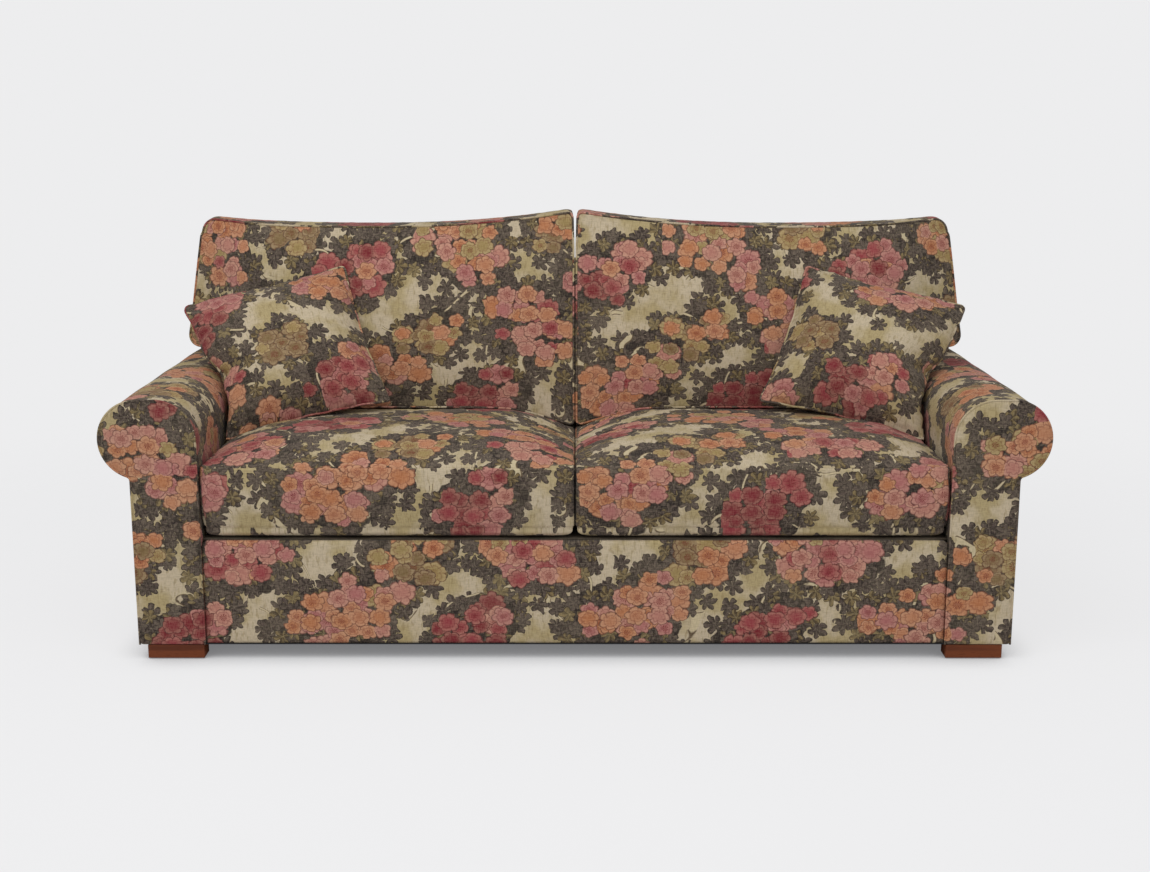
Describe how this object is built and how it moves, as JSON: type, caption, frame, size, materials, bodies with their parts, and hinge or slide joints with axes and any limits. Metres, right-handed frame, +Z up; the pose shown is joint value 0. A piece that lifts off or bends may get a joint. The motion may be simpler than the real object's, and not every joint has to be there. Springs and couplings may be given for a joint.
{
  "type": "scroll-arm sofa",
  "caption": "Scroll-arm sofa with loose boxed seat cushions, eared back cushions and piped scatter cushions on low wooden block feet.",
  "frame": {"origin": "on the floor under the middle of the sofa's bounding box", "axes": "+Z up, the front faces -Y, +X to the right of someone who looks at the front; left names are on the -X side"},
  "size_m": [2.256, 0.97, 1.032],
  "materials": {
    "timber": "sawn hardwood, unfinished",
    "plywood": "plywood, unfinished",
    "hardboard": "brown hardboard",
    "foot_wood": "warm mid-brown stained hardwood, satin",
    "tapestry": "woven tapestry-look floral upholstery cloth",
    "platform_cloth": "grey-brown felt and platform cloth",
    "dust_cloth": "black non-woven cloth",
    "webbing": "elastic upholstery webbing",
    "foam": "open-cell foam and fibre filling",
    "spring_steel": "drawn spring wire",
    "zinc": "zinc-plated steel",
    "felt": "dense black felt",
    "zip_tape": "woven zip tape with nylon coil"
  },
  "bodies": {
    "sofa_frame": {"front_rail": "timber", "back_rail": "timber", "side_rails": "timber", "centre_rails": "timber", "corner_blocks": "plywood", "arm_posts": "timber", "arm_top_boards": "timber", "arm_facing_boards": "plywood", "arm_rear_boards": "plywood", "arm_liners": "hardboard", "back_posts": "timber", "back_top_rail": "timber", "back_lower_rails": "timber", "back_wing_blocks": "timber", "seat_springs": "spring_steel", "spring_clips": "zinc", "back_webbing": "webbing", "seat_deck": "platform_cloth", "left_arm_foam": "foam", "right_arm_foam": "foam", "left_arm_cover": "tapestry", "right_arm_cover": "tapestry", "left_arm_facing": "tapestry", "right_arm_facing": "tapestry", "front_border_pad": "foam", "front_border_cover": "tapestry", "inside_back_pad": "foam", "inside_back_cover": "tapestry", "outside_back_cover": "tapestry", "dust_cover": "dust_cloth", "left_front_foot": "foot_wood", "right_front_foot": "foot_wood", "left_rear_foot": "foot_wood", "right_rear_foot": "foot_wood", "foot_bolts": "zinc", "foot_glides": "felt"},
    "left_seat": {"left_seat_cushion": "tapestry", "left_seat_core": "foam", "left_seat_zip": "zip_tape"},
    "right_seat": {"right_seat_cushion": "tapestry", "right_seat_core": "foam", "right_seat_zip": "zip_tape"},
    "left_back": {"left_back_cushion": "tapestry", "left_back_fill": "foam", "left_back_zip": "zip_tape"},
    "right_back": {"right_back_cushion": "tapestry", "right_back_fill": "foam", "right_back_zip": "zip_tape"},
    "left_scatter": {"left_scatter_cushion": "tapestry"},
    "right_scatter": {"right_scatter_cushion": "tapestry"}
  },
  "joints": [
    {"name": "left_seat_pull_out", "type": "slide", "parent": "sofa_frame", "child": "left_seat", "axis": [0, -1, 0], "range_m": [0, 0.85]},
    {"name": "left_back_lift_off", "type": "slide", "parent": "sofa_frame", "child": "left_back", "axis": [0, 0.1736, 0.9848], "range_m": [0, 0.56]},
    {"name": "left_scatter_lift_off", "type": "slide", "parent": "left_back", "child": "left_scatter", "axis": [0, -0.8, 0.6], "range_m": [0, 0.45]},
    {"name": "right_seat_pull_out", "type": "slide", "parent": "sofa_frame", "child": "right_seat", "axis": [0, -1, 0], "range_m": [0, 0.85]},
    {"name": "right_back_lift_off", "type": "slide", "parent": "sofa_frame", "child": "right_back", "axis": [0, 0.1736, 0.9848], "range_m": [0, 0.56]},
    {"name": "right_scatter_lift_off", "type": "slide", "parent": "right_back", "child": "right_scatter", "axis": [0, -0.8, 0.6], "range_m": [0, 0.45]}
  ]
}
